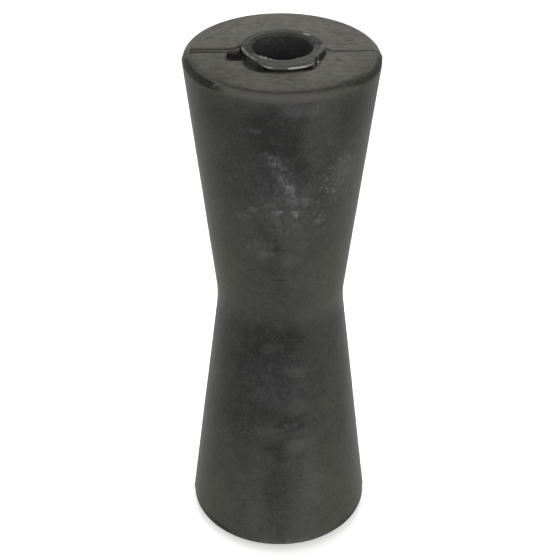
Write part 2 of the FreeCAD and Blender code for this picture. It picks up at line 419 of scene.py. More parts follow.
def lip_half(turn, sizes):
    """The lip's section at a turn, point for point in place of the ring's: up its wall, round its brim and
    over its crest into the bore."""
    ring = sizes.ring_diameter / 2
    height = along(BRIM_HEIGHT, turn)
    reach = sum(along(BRIM_REACH, turn + step) for step in (-2, 0, 2)) / 3
    rag = noise.noise(Vector((turn * 0.31, 0, 3.7)))
    edge = 0.42 + 0.08 * noise.noise(Vector((turn * 0.2, 0, 9.1)))
    wall = min(ring - 0.4, reach - 0.15)
    foot = Vector((wall + 0.15, -sizes.moat_depth * along(MOAT_DEPTH, turn)))
    bead = Vector((max(wall, reach - 0.65), 0.2))
    under = Vector((wall, height - 2 * edge - 0.05)).lerp(bead, within(turn, 64, 190, 10))
    brim = bow(Vector((reach - edge, height - edge)), edge, -90, 70, 5)
    brim_top = bow(Vector((reach - edge, height - edge)), edge, 70, 70, 1)[0]
    crest = Vector((min(CREST_REACH, reach - 0.7), min(height + 0.65, CREST_TOP)))
    mouth = Vector((BORE_RADIUS_MM + 0.5 + 0.25 * rag - mouth_burr(turn), MOUTH_TOP + 0.12 * rag))
    throat = [mouth, mouth + Vector((-0.35, -0.18)), mouth + Vector((-0.52, -0.55)),
              Vector((BORE_RADIUS_MM, 1.6)), Vector((BORE_RADIUS_MM, 1.35))]
    upper = straight(brim_top, crest, 5) + straight(crest, mouth, 9)
    for point in upper:
        fold = noise.noise(Vector((turn * 0.09, point.x * 1.4, 5.5)))
        point.y += 0.2 * fold - 0.3 * bump(point.x - FOLD_RADIUS, 0.45)
    return straight(foot, under, 4) + straight(under, brim[0], 2) + brim + upper + throat


def full_section(sizes):
    """The closed half section from the waist up, inwards, down the bore and out again.

    Also says how many of its points come before the upper ring's.
    """
    top = sizes.face_gap / 2
    outer = outer_half(sizes)
    edge, foot = outer[0], Vector((sizes.ring_diameter / 2, top))
    near = Vector((foot.x + FINE_FACE, top))
    face = straight(edge, near, FACE_STEPS) + straight(near, foot, FACE_STEPS)
    ring = ring_half(sizes)
    deep = Vector((BORE_RADIUS_MM, top - MOUTH_DEPTH))
    mouth = Vector((BORE_RADIUS_MM, top + ring[-1].y - 0.25))
    upper = [Vector((sizes.waist_diameter / 2, 0))] + outer[:0:-1] + face
    before = len(upper)
    upper += [point + Vector((0, top)) for point in ring] + straight(mouth, deep, MOUTH_STEPS)
    flip = Vector((1, -1))
    lower_mouth = deep * flip
    lower = straight(deep, lower_mouth, BORE_STEPS)
    lower += straight(lower_mouth, mouth * flip, LOWER_MOUTH_STEPS)
    lower += [(point + Vector((0, top))) * flip for point in reversed(ring)]
    lower += straight(foot * flip, edge * flip, LOWER_FACE_STEPS) + [point * flip for point in outer]
    return upper + lower, before


# Columns: degrees and steps, fine where the mould's halves met, on both sides, and coarser between

COLUMNS = ((4.5, 12), (171, 140), (9, 24), (171, 140), (4.5, 12))


def spin_section(bm, sizes):
    """Turns the half section about the axis into one closed skin. Numbers each point's ring station."""
    section, before = full_section(sizes)
    station = bm.verts.layers.int.new("station")
    verts = [bm.verts.new((point.x, 0, point.y)) for point in section]
    for index, vert in enumerate(verts):
        vert[station] = index - before
    geometry = verts + [bm.edges.new(pair) for pair in zip(verts, verts[1:] + verts[:1])]
    for degrees, steps in COLUMNS:
        turned = bmesh.ops.spin(
            bm, geom=geometry, cent=(0, 0, 0), axis=(0, 0, 1), dvec=(0, 0, 0),
            angle=math.radians(degrees), steps=steps, use_merge=False, use_duplicate=False,
        )
        geometry = turned["geom_last"]
    bmesh.ops.remove_doubles(bm, verts=bm.verts, dist=0.01)
    return station


# What moulding, trimming and use did to the upper face. Places are millimetres from the axis.
# Lines: path, half width, rise, dark paint (dirt, and painted shade in the gaps), chalk

FACE_LINES = (
    # the parting ridge on the left, the gap before it and the hollow behind it
    (((-46, 0.4), (-40, 0.9), (-26, 0.7)), 0.5, 0.2, 0, 0.05),
    (((-44, -1.2), (-41, -0.5), (-34, -0.15), (-25, -0.5)), 0.5, -0.35, 1, 0),
    (((-43, 2.0), (-25, 2.0)), 0.9, -0.15, 0.5, 0),
    # its hooked end beside the lip on the right, and the gap before it
    (((19.4, 4.2), (20.6, 2.6), (23, 1.7), (29, 1.4)), 0.5, 0.25, 0, 0.14),
    (
        ((19.2, 2.4), (20.8, 0.7), (23, 0.2), (34, 0.0), (37, 0.8), (40, 0.2), (43, -2.5)),
        0.75, -0.35, 0.75, 0,
    ),
    (((29, -1.5), (38, -1.4)), 0.5, 0.12, 0, 0.1),
    # the torn gap behind the flash
    (((-25, 3.4), (-21.5, 3.6), (-20, 4.4), (-18.7, 5.2), (-17.8, 7)), 0.9, -0.7, 1, 0),
    # nicks
    (((22.6, -8.2), (25, -8.8)), 0.55, -0.35, 0.7, 0),
    (((25.4, -10.2), (27.2, -10.8)), 0.45, -0.2, 0.45, 0),
    (((28.9, 11), (31.2, 10.8)), 0.5, -0.3, 0.7, 0),
    (((30, 7.4), (33.5, 7.0)), 0.4, -0.2, 0.35, 0),
    (((-25.5, -25.5), (-24.5, -26)), 0.45, -0.3, 0.6, 0),
    (((-33, 14), (-29.8, 14.6)), 0.45, -0.25, 0.4, 0),
    (((14, -29.5), (15.2, -29.3)), 0.45, -0.3, 0.6, 0),
    (((-38.2, -13.2), (-37.2, -15)), 0.6, -0.3, 0.5, 0),
    (((-36.6, -15.8), (-35.6, -15.4)), 0.6, 0.2, 0, 0.25),
    (((-30, -6.2), (-26.4, -6.8)), 0.5, -0.12, 0.25, 0),
    (((29.5, -33.5), (33, -31)), 0.4, -0.1, 0, 0.14),
)

# A bright spot painted on the ring as a painted highlight, the flash beside it, and the torn hollow in front
# of that

RING_HIGHLIGHT = ((10.4, 12.5), (11.9, 11.5))
FLASH_MIDDLE, FLASH_HALF = -0.5, 1.15
FLASH_RISE = ((-24.5, 0.5), (-18, 1.1))
GOUGE_PLACE, GOUGE_SPAN, GOUGE_DEPTH = Vector((-20.9, -4.6)), Vector((3.6, 3.9)), 2.0


def face_lines(spot):
    """How far the lines raise a spot of the face, and how dark (dirt, and painted shade in the gaps) and how
    pale they leave it.
    """
    rise, grime, pale = 0.0, 0.0, 0.0
    for path, width, lift, dirt_and_shade, chalk in FACE_LINES:
        near = bump(distance_to(path, spot), width)
        if near > 0.01:
            rise += lift * near
            grime += (1 - grime) * dirt_and_shade * near
            pale = max(pale, chalk * near)
    return rise, grime, pale


def face_relief(spot, turn, radius, sizes):
    """How far the upper face rises at a spot, and how deep in a gap, how dark it is painted, with dirt and
    painted shade, and how pale it is there.
    """
    rise, lines, pale = face_lines(spot)
    rise += 0.09 * noise.noise(Vector((spot.x / 13, spot.y / 9, 0.5)))
    rise += 0.03 * noise.noise(Vector((spot.x / 4, spot.y / 1.5, 8.5)))

    # darker in front, at the sides and in a strip behind the parting ridge, and less so in front on the
    # right
    grime = 0.31 * smooth((8 - spot.y) / 32)
    grime += 0.03 * smooth((-spot.x - 8) / 20) * smooth((4 - spot.y) / 10)
    grime += 0.1 * smooth((abs(spot.x) - 15) / 15)
    grime -= 0.24 * within(spot.x, 10, 32, 8) * within(spot.y, -28, -4, 7)
    grime += 0.5 * within(spot.y, 0.3, 4.6, 1.5) * within(spot.x, -42, -25.5, 2)
    grime += (1 - grime) * lines

    # the flash beside the ring, dark along its front
    flash_length = smooth(spot.x + 24.8) * smooth(-17 - spot.x)
    flash = smooth((FLASH_HALF - abs(spot.y - FLASH_MIDDLE)) / 0.35) * flash_length
    rise += flash * along(FLASH_RISE, spot.x)
    front = smooth((FLASH_MIDDLE - 0.75 - spot.y) / 0.3) * smooth(spot.y + 4) * flash_length
    top_dirt = 0.6 + 0.15 * smooth((spot.y - FLASH_MIDDLE + 0.3) / 0.4)
    grime = max(grime, top_dirt * flash, 0.97 * front)

    # the torn hollow in front of it, squarish and ragged
    away = spot - GOUGE_PLACE
    across, ahead = abs(away.x) / GOUGE_SPAN.x, abs(away.y) / GOUGE_SPAN.y
    squared = (across ** 3 + ahead ** 3) ** (1 / 3)
    ragged = squared + 0.2 * noise.noise(Vector((spot.x / 1.6, spot.y / 1.6, 7)))
    torn = smooth((1.2 - ragged) / 0.5) * (1 - flash)
    rise -= GOUGE_DEPTH * torn

    # the recess under the lip, with painted shade in it, torn lumps at the right with pale painted glints on
    # them, and a soft painted shadow in front of it
    in_front = smooth(turn / 6) * smooth((184 - turn) / 6)
    slope = along(MOAT_SLOPE, turn)
    moat = smooth((along(MOAT_REACH, turn) + slope / 2 - radius) / slope) * in_front
    depth = along(MOAT_DEPTH, turn) * moat
    rise -= sizes.moat_depth * depth * (1 - flash)
    hole = within(turn, 128, 150, 5) * within(radius, 17.5, 21, 1)
    lump = hole * smooth((noise.noise(Vector((spot.x / 0.9, spot.y / 0.9, 2))) - 0.1) / 0.3)
    rise += 0.6 * lump
    shadow_apron = 0.42 * smooth((27.5 - radius) / 5.5) * smooth((radius - 20.5) / 1.5)
    shadow_apron *= within(turn, 70, 112, 16)
    grime = max(grime, 0.95 * torn, shadow_apron, along(MOAT_SHADE, turn) * moat) * (1 - 0.8 * lump)
    return rise, max(torn, 0.9 * depth), grime, max(pale * (1 - torn), 0.5 * lump)


# The black band round the rim: how dark it is on the left and on the right. Where it starts and stops, in
# millimetres over the edge of the face, by degrees where that changes. The radius of the painted shade line
# that joins the two in front, by degrees

BAND_LEFT, BAND_RIGHT = 1.15, 0.84
BAND_START_LEFT = -2.4
BAND_END_LEFT = ((15, 7.6), (30, 7.1), (40, 7.0), (52, 6.5))
BAND_START_RIGHT = ((125, -4), (140, -3.2), (155, -1.2))
BAND_END_RIGHT = ((122, 3.2), (131, 5.2), (140, 6.4), (152, 7.3), (165, 7.8))
LINE_RADIUS = ((50, 40.2), (90, 39.9), (108, 40.1), (120, 40.6), (132, 41.2))


def rim_black_band(turn, over):
    """How black the rim is over the edge of the face: a thick band on the left, thinner on the right."""
    left = BAND_LEFT * within(turn, 4, 51, 16)
    left *= smooth((over - BAND_START_LEFT) / 6) * smooth((along(BAND_END_LEFT, turn) - over) / 1.5)
    right = BAND_RIGHT * within(turn, 123, 176, 14)
    right *= smooth((over - along(BAND_START_RIGHT, turn)) / 4.5)
    return left + right * smooth((along(BAND_END_RIGHT, turn) - over) / 1.8)


def rim_shade_line(turn, radius):
    """Painted shade: how dark the line is along the front where the face starts to round over."""
    dark = 0.77 + 0.04 * smooth((turn - 96) / 24)
    return dark * bump(radius - along(LINE_RADIUS, turn), 2.3) * within(turn, 42, 134, 14)


# Painted highlight on the lip by degrees round it: along its lower outer edge

EDGE_SHINE = (
    (60, 0), (64, 0.25), (72, 0.5), (75, 0.5), (78, 0.1), (94, 0.1), (97, 0.85), (114, 0.85), (121, 0.4),
    (131, 0.2), (134, 0),
)

# How much bloom lies on the upper face and in the bore, and how olive it is there

FACE_BLOOM, BORE_BLOOM, BORE_OLIVE = 0.3, 0.34, 0.1


def paint_ring(paint, point, turn, place, share):
    """Paints a point of the raised ring, or of the lip where share is 1."""
    radius = radius_of(place)
    streak = noise.noise(Vector((turn * 0.13, radius * 2.2, 4.4)))
    throat = smooth((point - 21) / 2) * (1 - share)
    paint["bloom"] = 0.55 + 0.45 * streak + (BORE_BLOOM - 0.5) * throat
    paint["olive"] = 1 - 0.4 * share + (BORE_OLIVE - 1) * throat

    # dirt on the plain ring, and painted shade at its foot and down into its throat
    behind = within(turn, 184, 258, 30) if turn > 180 else within(turn, -60, 2, 16)
    foot = smooth((4 - point) / 2)
    ring_dirt_and_shade = 0.42 - 0.16 * within(turn, -62, -14, 14) + 0.15 * foot + 0.15 * behind + 0.2 * streak
    ring_dirt_and_shade = (ring_dirt_and_shade + 0.15 * throat) * (1 - smooth((point - 24) / 5))

    # on the lip: painted shade on its wall under the brim, dirt on its brim and sides, and dark lines along
    # its fold and a groove at the left
    wall = smooth((7.5 - point) / 2)
    fine = noise.noise(Vector((turn * 0.1, radius * 4.5, 1.7)))
    lip_dirt_and_shade = 0.8 - 0.5 * within(turn, 26, 62, 8) - 0.42 * within(turn, 66, 130, 8)
    lip_dirt_and_shade = (lip_dirt_and_shade - 0.3 * within(turn, 152, 190, 8)) * wall + 0.3 * (1 - wall) * fine
    lip_dirt_and_shade += 0.35 * (1 - wall) * within(turn, 50, 134, 14) * within(point, 10, 15, 3)
    sides = max(within(turn, -10, 50, 12), within(turn, 138, 200, 12))
    lip_dirt_and_shade += 0.1 + 0.3 * smooth((point - 17) / 3) * sides
    if point > 10:
        lip_dirt_and_shade += 0.55 * bump(radius - FOLD_RADIUS, 0.5) * within(turn, 20, 130, 20)
        lip_dirt_and_shade += 0.95 * bump(radius - GROOVE_RADIUS, 0.8) * within(turn, 2, 30, 5)
    # black painted shade in the gaps at the lip's two ends
    ends = bump(turn + 1.5, 2.0) + bump(turn - 190, 2.5) * smooth((point - 2) / 4)
    paint["grime"] = ring_dirt_and_shade + (lip_dirt_and_shade - ring_dirt_and_shade) * share + 0.9 * ends

    # painted highlights on a spot of the ring, along the lip's lower edge, on its burrs, along its sides and
    # on its torn place
    ring_highlight = distance_to(RING_HIGHLIGHT, Vector((place.x, place.y)))
    paint["rub"] = 0.34 * bump(ring_highlight, 0.8)
    lower_edge = smooth(point - 6.5) * smooth((11.6 - point) / 1.5)
    mouth = smooth((point - 21) / 2) * smooth((28 - point) / 2)
    left_highlight = within(turn, 4, 44, 10) * smooth((point - 6) / 3) * smooth((20 - point) / 6)
    right_highlight = within(turn, 148, 184, 10) * smooth((point - 8) / 3) * smooth((24 - point) / 6)
    paint["rub"] += share * (
        along(EDGE_SHINE, turn) * lower_edge
        + 0.22 * mouth * min(mouth_burr(turn), 1) * (1 + streak) * within(turn, 42, 72, 4)
    )
    paint["chalk"] += share * (0.35 * left_highlight + 0.08 * right_highlight)
    torn = within(turn, 130, 156, 4) * wall * smooth((noise.noise(place / 0.9) - 0.1) / 0.3)
    paint["rub"] += 0.6 * torn


# Bloom by height above the waist: thin at the top of each flank and thick at its foot and on the upper rim,
# partly as bloom, where wet runs off, and partly as painted reflection. How olive it is in front. At the
# sides it is olive all the way

BLOOM_HEIGHTS = (
    (-125, 0.79), (-90, 0.59), (-55, 0.32), (-20, 0.16), (-5, 0.21), (1, 0.36), (7, 0.56),
    (40, 0.57), (60, 0.46), (90, 0.28), (112, 0.3), (119, 0.42), (122.5, 0.75), (125, 1),
)
OLIVE_HEIGHTS = ((-125, 0.2), (-80, 0.15), (-50, 0), (-12, 0), (2, 0.35), (50, 0.35), (75, 0.1), (125, 0))

# Marks on the flanks: layer, degrees to the right of the side that the camera sees, height above the waist,
# half width and half height in millimetres, lean in degrees, strength. The camera stands a little to the
# left of the front, where the turn is 90

SIGHT_TURN = 87.9

FLANK_MARKS = (
    # the first two rows thin the bloom at the top in front, partly as painted shade
    ("bloom", -5, 107, 10, 12, 0, -0.24),
    ("bloom", -7, 112, 4, 6, 0, -0.16),
    ("bloom", -11, 83, 5, 10, 0, -0.15),
    ("bloom", 14, 83, 4, 8, 0, -0.12),
    ("bloom", 31, 83, 6, 12, 0, -0.14),
    ("bloom", -9, 50, 6, 9, 0, -0.15),
    ("bloom", 0, 21, 4, 6, 0, -0.13),
    ("bloom", 11, -7, 6, 6, 0, -0.17),
    ("bloom", 23, -68, 5, 9, 0, 0.12),
    ("bloom", 12, 93, 5, 12, 15, -0.16),
    # the next two rows thicken the bloom on the right, partly as painted light from the lamp in front on the
    # right
    ("bloom", 24, 100, 8, 24, 0, 0.2),
    ("bloom", 34, -45, 11, 70, 0, 0.2),
    ("chalk", 12, 117, 9, 2.5, 0, 0.08),
    ("chalk", -4.5, 93, 3.0, 2.6, 0, 0.12),
    ("chalk", -4, 92.5, 1.5, 5.5, 50, 0.18),
    ("chalk", 3.5, 79, 3.2, 3.0, 0, 0.1),
    ("chalk", 1, 82, 2.0, 6.5, 40, 0.14),
    ("chalk", 5, 75, 2.2, 6.0, 35, 0.17),
    ("chalk", -2.5, 65.5, 3.0, 1.2, 10, 0.36),
    ("chalk", 10, 65, 2.2, 1.3, -20, 0.4),
    ("chalk", 16, 70, 2.2, 2.0, 0, 0.16),
    ("chalk", -7, 69, 2.0, 1.6, 0, 0.16),
    ("chalk", 28, 59.5, 3.0, 1.6, 20, 0.16),
    ("chalk", -27, 61, 4.0, 1.8, 0, 0.14),
    ("chalk", -19, 66.6, 2.2, 0.9, 0, 0.16),
    ("chalk", -16.5, 108, 4.0, 0.7, 0, 0.14),
    ("chalk", 3, 72, 12, 20, 20, 0.07),
    ("chalk", -10, 58, 20, 7, 0, 0.03),
    ("stain", 43, 80, 9, 13, 0, 0.12),
    ("bloom", 8, 43, 6, 8, 0, 0.14),
    ("stain", 8, 37, 4.5, 3.6, 0, 0.11),
    ("stain", -8, 41.5, 6.0, 3.0, 0, 0.12),
    ("chalk", -15, 45, 6, 5, 0, 0.14),
    ("bloom", -4, 42, 4, 5, 0, -0.25),
    ("bloom", -4, 33, 7, 2.5, 0, -0.14),
    ("chalk", 42, 83, 5, 9, 0, 0.1),
    ("grime", 42, 112, 12, 12, 0, 0.12),
    ("grime", 60, 112, 15, 13, 0, 0.34),
    ("grime", -60, 112, 18, 13, 0, 0.34),
    ("specks", 42, 82, 11, 15, 0, 0.85),
    ("specks", 38, 60, 9, 8, 0, 0.5),
    ("specks", 5, 74, 20, 28, 0, 0.3),
    ("specks", 12, 116, 12, 5, 0, 0.4),
    ("specks", 0, -60, 32, 62, 0, 0.2),
    ("specks", -34, -58, 8, 4, 0, 0.35),
    ("bloom", -4, -18, 17, 16, 0, -0.12),
    ("bloom", -24, -40, 9, 26, 0, -0.06),
    ("stain", -6, -11.5, 5.0, 2.6, 10, 0.14),
    ("bloom", -15, -9, 2.4, 2.0, 0, -0.4),
    ("chalk", -15, -9, 1.0, 0.9, 0, 0.1),
    ("stain", 16, -26, 5.0, 3.0, -25, 0.16),
    ("chalk", -4, -30, 13, 14, 30, 0.05),
    ("stain", 12, -66.5, 4.8, 4.0, 0, 0.26),
    ("stain", 14, -45, 6.0, 4.0, 0, 0.16),
    ("bloom", 10, -54, 9.0, 2.2, 0, -0.24),
    ("chalk", 9, -54, 3.5, 0.8, 0, 0.12),
    ("stain", -10, -56.5, 9, 2.4, 0, 0.14),
    ("bloom", -2, -68, 7.0, 4.5, 0, -0.2),
    ("bloom", -1, -97, 6.0, 24, 0, -0.2),
    ("bloom", -17, -90, 4.0, 30, 0, 0.12),
    ("bloom", 22, -98, 6.0, 24, 0, 0.15),
    ("grime", -72, -92, 14, 28, 0, 0.2),
    ("grime", -50, -122.2, 15, 1.3, 0, 1),
    ("grime", 54, -122.2, 10, 1.2, 0, 0.8),
    ("chalk", 10, -122.2, 20, 1.4, 0, 0.14),
)

# Cuts across the flanks, likewise: degrees from and to, height above the waist, depth

FLANK_CUTS = ((-7, 5, 27.5, 0.22), (-65.8, -63.6, 67.5, 0.3))
CUT_HALF_WIDTH = 0.36


def paint_flank(paint, place, turn, radius):
    """Paints the bloom and the marks at a place on a flank."""
    ahead = turn - SIGHT_TURN
    aside = smooth((abs(ahead) - 8) / 36)
    paint["bloom"] = along(BLOOM_HEIGHTS, place.z) - 0.12 * aside * smooth(-place.z / 60)
    paint["olive"] = max(along(OLIVE_HEIGHTS, place.z), aside)
    for layer, middle, height, wide, tall, lean, strength in FLANK_MARKS:
        across = math.radians(ahead - middle) * radius
        up = place.z - height
        if abs(across) > 2.5 * (wide + tall) or abs(up) > 2.5 * (wide + tall):
            continue
        swing = math.radians(lean)
        side = across * math.cos(swing) + up * math.sin(swing)
        rise = up * math.cos(swing) - across * math.sin(swing)
        away = math.hypot(side / wide, rise / tall)
        away += 0.3 * noise.noise(place / 5)
        fall = 0.75 if layer == "stain" else 0.9
        paint[layer] += strength * smooth((1 + fall / 2 - away) / fall)


def flank_cut(place, turn):
    """How much of a cut crosses a place on a flank, and its depth there."""
    share, depth = 0.0, 0.0
    for start, end, height, deep in FLANK_CUTS:
        if abs(place.z - height) < 2:
            wander = 0.25 * noise.noise(Vector((turn * 0.4, 0, height)))
            near = bump(place.z - height - wander, CUT_HALF_WIDTH) * within(turn - SIGHT_TURN, start, end, 4)
            share, depth = max(share, near), max(depth, deep * near)
    return share, depth


# How far down the rim's own paint reaches, and its scuffed spot: half width, brightness and relief

RIM_PAINT = 6
SCUFF_PLACE, SCUFF_WIDTH = Vector((-28.7, -30.2)), 1.5
SCUFF_SHINE, SCUFF_RELIEF = 0.17, 0.2


def paint_rim(paint, place, turn, radius, below, over):
    """Paints a place of the rim, so far below the face and over its edge. Says how far a scuff lifts it."""
    spot = Vector((place.x, place.y))
    # dust on the rim; down its rounding it also paints the light band that the rim reflects, as a painted
    # reflection
    swept = smooth((turn - 24) / 24 if turn > 0 else -turn / 20)
    paint["dust"] = 0.65 * smooth(3.5 - below) * swept
    scuff = bump((spot - SCUFF_PLACE).length, SCUFF_WIDTH)
    paint["rub"] = SCUFF_SHINE * scuff * smooth(noise.noise(place / 0.8) * 3)
    # wear down the rim, its black band, and the painted shade line where the face rounds over
    worn = max(0.04 * smooth((5 - below) / 2), face_lines(spot)[1] * smooth((4 - below) / 2))
    band = min(rim_black_band(turn, over + below), 1)
    paint["grime"] = max(paint["grime"], worn, rim_shade_line(turn, radius), band)
    return SCUFF_RELIEF * scuff * (noise.noise(place / 0.9) - 0.6)


def add_lumps(aim, place, turn, share):
    """Adds the lip's lumps to a point of its section, and keeps it under the lip's top."""
    lump = 0.12 * noise.noise(place / 1.9)
    lump += noise.noise(place / 0.8) * (0.07 + 0.25 * within(turn, 129, 146, 4))
    aim += Vector((lump, lump * 0.6)) * share
    aim.y = min(aim.y, LIP_TOP)
    return aim


# The paints that the material reads

PAINTS = ("bloom", "olive", "chalk", "rub", "specks", "stain", "grime", "dust")


def mould_skin(bm, station, sizes):
    """Moves the spun skin to the shape that moulding, trimming and wear left. Paints its marks."""
    layers = {name: bm.verts.layers.float.new(name) for name in PAINTS}
    top = sizes.face_gap / 2
    ring = ring_half(sizes)
    rim_start = outer_half(sizes)[0].x
    lips = {}
    for vert in bm.verts:
        place = vert.co.copy()
        radius = radius_of(place)
        outside = radius > BORE_RADIUS_MM + 1
        outward = Vector((place.x, place.y, 0)) / radius
        turn = turn_of(place)
        point = vert[station]
        paint = dict.fromkeys(layers, 0.0)
        if 0 <= point < RING_POINTS:
            # the upper ring and its lip
            share = smooth((turn - LIP_START + 2) / 4) * smooth((LIP_END - turn) / 6)
            if share > 0:
                key = round(turn, 2)
                lips[key] = lips.get(key) or lip_half(turn, sizes)
                aim = add_lumps(ring[point].lerp(lips[key][point], share), place, turn, share)
                place = outward * aim.x + Vector((0, 0, top + aim.y))
            paint_ring(paint, point, turn, place, share)
        elif outside and place.z > top - 0.01:
            # the upper face
            spot = Vector((place.x, place.y))
            rise, gap, paint["grime"], paint["chalk"] = face_relief(spot, turn, radius, sizes)
            place.z += rise
            # the rim's black band and its painted shade line reach onto the edge of the face
            edge = max(rim_shade_line(turn, radius), rim_black_band(turn, radius - rim_start))
            paint["grime"] += (1 - paint["grime"]) * edge
            paint["dust"] = 1 - 0.9 * gap
            paint["bloom"] = FACE_BLOOM
        elif outside and abs(place.z) < top:
            # the flanks and rims
            sway = 0.06 * (1 + noise.noise(place / 24)) + 0.03 * (1 + noise.noise(place / 8))
            drift = 0.3 * noise.noise(Vector((0, place.x, place.z / 30)))
            lift = sizes.seam_height * bump(place.y - drift, 0.34)
            paint_flank(paint, place, turn, radius)
            share, depth = flank_cut(place, turn)
            paint["grime"] += 0.8 * share
            below = top - place.z
            if below < RIM_PAINT:
                lift += paint_rim(paint, place, turn, radius, below, radius - rim_start)
            place += outward * (lift - sway - depth)
        else:
            # the bore and the lower end
            paint["bloom"] = BORE_BLOOM
            paint["olive"] = BORE_OLIVE
        for name, layer in layers.items():
            vert[layer] = min(max(paint[name], 0.0), 1.0)
        vert.co = place


class ROLLER_OT_moulding(bpy.types.Operator):
    """Builds the roller's moulding and its aged rubber."""

    bl_idname = "roller.moulding"
    bl_label = "Moulding"

    def execute(self, context):
        sizes = in_mm(context.scene.roller_sizes)
        bm = bmesh.new()
        station = spin_section(bm, sizes)
        mould_skin(bm, station, sizes)
        bmesh.ops.translate(bm, verts=bm.verts, vec=(0, 0, sizes.ring_rise + sizes.face_gap / 2))
        bmesh.ops.scale(bm, verts=bm.verts, vec=(MM, MM, MM))
        bmesh.ops.recalc_face_normals(bm, faces=bm.faces)
        for face in bm.faces:
            face.smooth = True
        bm.verts.layers.int.remove(bm.verts.layers.int["station"])
        mesh = bpy.data.meshes.new("roller_moulding")
        bm.to_mesh(mesh)
        bm.free()
        piece = bpy.data.objects.new("roller_moulding", mesh)
        context.scene.collection.objects.link(piece)
        mesh.set_sharp_from_angle(angle=math.radians(50))
        mesh.materials.append(weathered_rubber(context.scene.rubber_finish))
        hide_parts("roller")
        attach(piece, "root")
        return {"FINISHED"}


# Noise patterns: size in millimetres, how much wider across and deeper than tall, detail, roughness.
# Rubber's own grain, of about 0.2 mm, is too fine to show, so grain is drawn at 0.8 mm

PATTERNS = {
    "clouds": (16, (1, 1, 1), 3, 0.5),
    "patches": (5, (1, 1, 1), 5, 0.6),
    "mottle": (2.2, (1, 1, 1), 3, 0.6),
    "grain": (0.8, (1, 1, 1), 2, 0.5),
    "damp": (11, (1.3, 1, 1), 4, 0.55),
    "wipes": (1.5, (2.4, 1.2, 1), 5, 0.65),
    "wisps": (2.2, (1, 1, 1.9), 6, 0.7),
}
WISP_LEAN = math.radians(-35)

# How far each pattern makes the bloom swing

BLOOM_SWINGS = {"clouds": 0.45, "patches": 0.5, "mottle": 0.45, "grain": 0.8}

# Spreads, from two levels of a pattern to two shares: dust in wiped streaks, greener where damp, splashes in
# some patches, chalk in wisps, dirt in crumbs

SPREADS = {
    "wipes": (0.34, 0.62, 0.34, 1),
    "damp": (0.35, 0.65, 0, 1),
    "patches": (0.42, 0.62, 0, 1),
    "wisps": (0.42, 0.68, 0.22, 1.2),
    "mottle": (0.3, 0.6, 0.8, 1),
}

# Dried splashes: spacing in millimetres, the distances from a dot's middle, in spacings, where it fades out
# and where it is whole, the paint that says where such dots are, and strength

FLECKS = ((1.9, 0.42, 0.14, "specks", 0.6), (7, 0.07, 0.03, None, 0.2))


def skin_patterns(tree, place):
    """The noise patterns by name, plain and spread."""
    pattern, spread = {}, {}
    for name, (size, stretch, detail, roughness) in PATTERNS.items():
        lean = WISP_LEAN if name == "wisps" else 0
        grid = add_node(tree, "ShaderNodeMapping", {
            "Rotation": (0, lean, 0), "Scale": [1 / (size * MM * wider) for wider in stretch],
        }, {"Vector": place})
        pattern[name] = add_node(tree, "ShaderNodeTexNoise", {
            "Scale": 1.0, "Detail": detail, "Roughness": roughness,
        }, {"Vector": grid}).outputs["Fac"]
    for name, (low, high, least, most) in SPREADS.items():
        spread[name] = add_node(tree, "ShaderNodeMapRange", {
            "From Min": low, "From Max": high, "To Min": least, "To Max": most,
        }, {"Value": pattern[name]})
    return pattern, spread


def dried_splashes(tree, place, painted, patches):
    """Dots in some patches where they are painted, and stray ones all over."""
    splashes = None
    for size, low, high, name, strength in FLECKS:
        grid = add_node(tree, "ShaderNodeMapping", {"Scale": [1 / (size * MM)] * 3}, {"Vector": place})
        cells = add_node(tree, "ShaderNodeTexVoronoi", {"Scale": 1.0}, {"Vector": grid})
        dots = add_node(tree, "ShaderNodeMapRange", {
            "From Min": low, "From Max": high, "To Max": strength, "interpolation_type": "SMOOTHSTEP",
        }, {"Value": cells.outputs["Distance"]})
        if name:
            for share in (painted[name], patches):
                dots = add_node(tree, "ShaderNodeMath", {"operation": "MULTIPLY"}, {0: dots, 1: share})
        splashes = dots if splashes is None else add_node(
            tree, "ShaderNodeMath", {"operation": "MAXIMUM"}, {0: splashes, 1: dots},
        )
    return splashes


